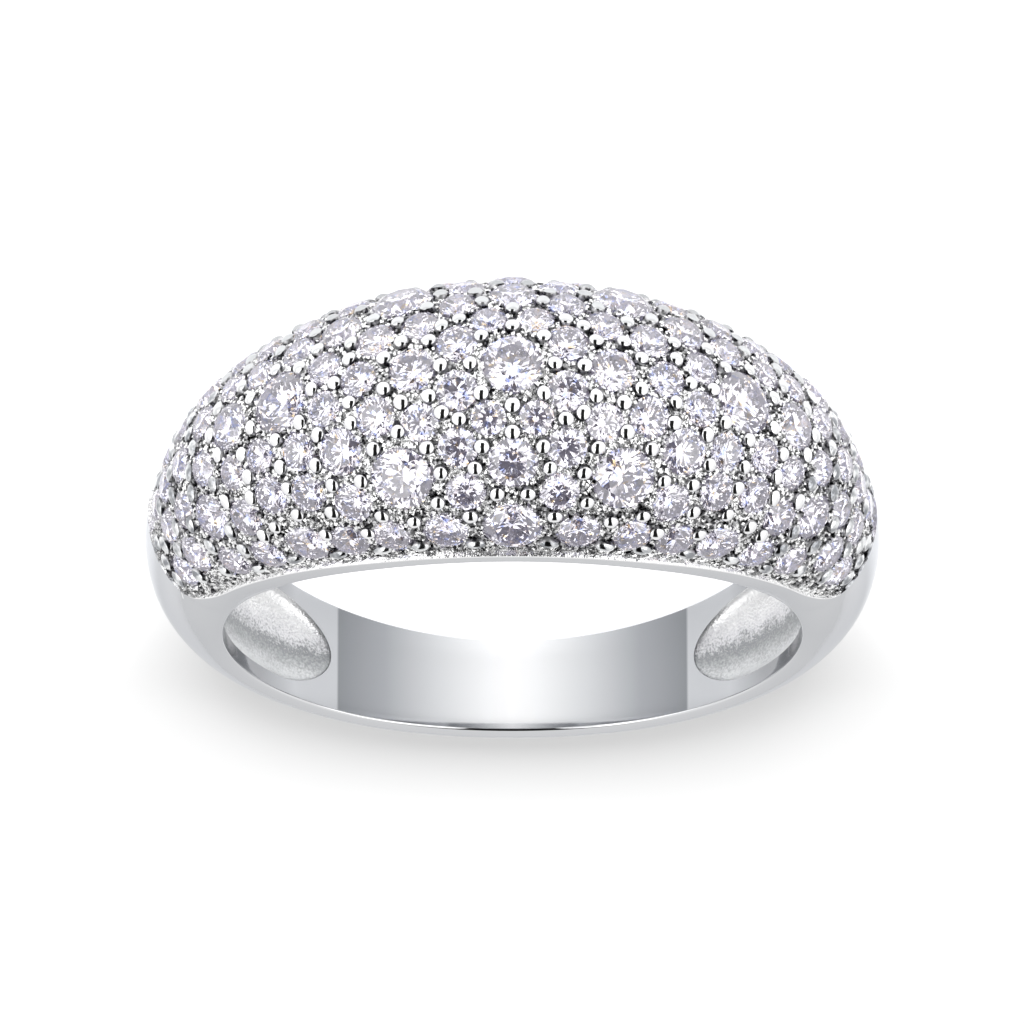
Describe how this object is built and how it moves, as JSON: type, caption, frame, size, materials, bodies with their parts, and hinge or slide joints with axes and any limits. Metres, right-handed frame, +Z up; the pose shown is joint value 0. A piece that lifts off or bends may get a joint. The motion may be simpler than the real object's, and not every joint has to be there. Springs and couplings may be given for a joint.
{
  "type": "band ring",
  "caption": "Finger ring: a wide crowned band that narrows to the back, its front set all over with round cut stones, with a pocket in the inner face.",
  "frame": {"origin": "middle of the bounding box at its lowest point, on the surface that the ring lies on", "axes": "+Z up, the ring lies on its side; +Y from the wide stone-set front to the narrow back; +X across the finger hollow"},
  "size_m": [0.022, 0.023, 0.0088],
  "materials": {
    "band_metal": "polished white metal, sandblasted in the pocket",
    "stone": "clear cut stone with a faint lavender tint"
  },
  "bodies": {
    "root": {"band": "band_metal", "main_stone_1": "stone", "main_stone_2": "stone", "main_stone_3": "stone", "main_stone_4": "stone", "main_stone_5": "stone", "main_stone_6": "stone", "main_stone_7": "stone", "main_stone_8": "stone", "main_stone_9": "stone", "main_stone_10": "stone", "main_stone_11": "stone", "main_stone_12": "stone", "main_stone_13": "stone", "stones_left": "stone", "stones_right": "stone"}
  },
  "joints": []
}
